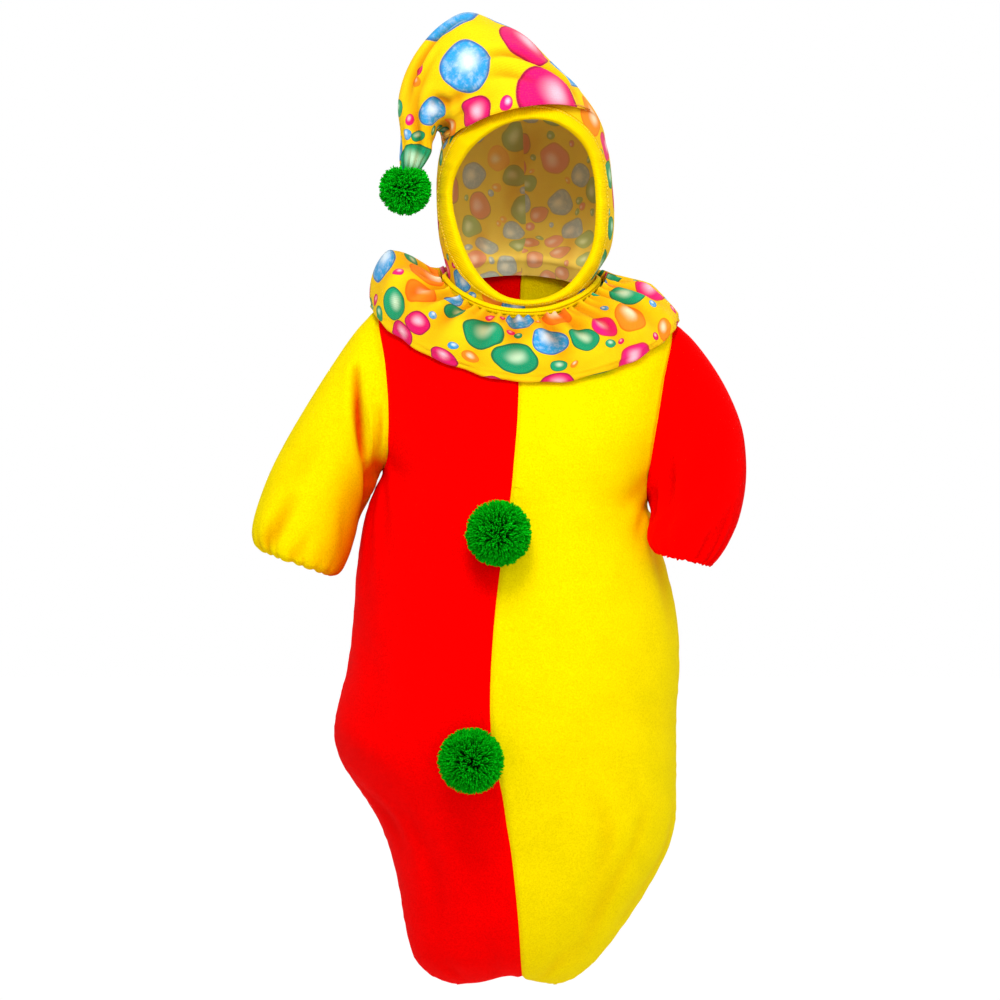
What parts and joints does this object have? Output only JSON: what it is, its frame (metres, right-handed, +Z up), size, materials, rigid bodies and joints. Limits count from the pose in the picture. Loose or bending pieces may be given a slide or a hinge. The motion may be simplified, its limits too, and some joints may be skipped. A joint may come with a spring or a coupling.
{
  "type": "baby clown bunting costume with hood",
  "caption": "Hollow two-colour sack costume with sleeves, gathered printed collar, pointed hood and yarn pompoms, posed as if worn.",
  "frame": {"origin": "middle of the neck opening, where the wearer's neck holds the garment", "axes": "+Z up along the wearer's body, +X to the viewer's right as the garment faces the viewer, the front faces -Y"},
  "size_m": [0.3782, 0.2279, 0.7485],
  "materials": {
    "red_fleece": "soft short-napped fleece, plain red",
    "yellow_fleece": "soft short-napped fleece, plain yellow",
    "printed_cloth": "smooth knit in golden yellow, printed with coloured bubbles",
    "yellow_binding": "smooth knit binding, plain yellow",
    "green_yarn": "cut green yarn"
  },
  "bodies": {
    "root": {"front_red": "red_fleece", "front_yellow": "yellow_fleece", "back_red": "red_fleece", "back_yellow": "yellow_fleece", "sleeve_yellow": "yellow_fleece", "sleeve_red": "red_fleece", "collar": "printed_cloth", "neck_band": "yellow_binding", "hood": "printed_cloth", "face_binding": "yellow_binding", "pompom_hood": "green_yarn", "pompom_chest": "green_yarn", "pompom_knee": "green_yarn"}
  },
  "joints": []
}
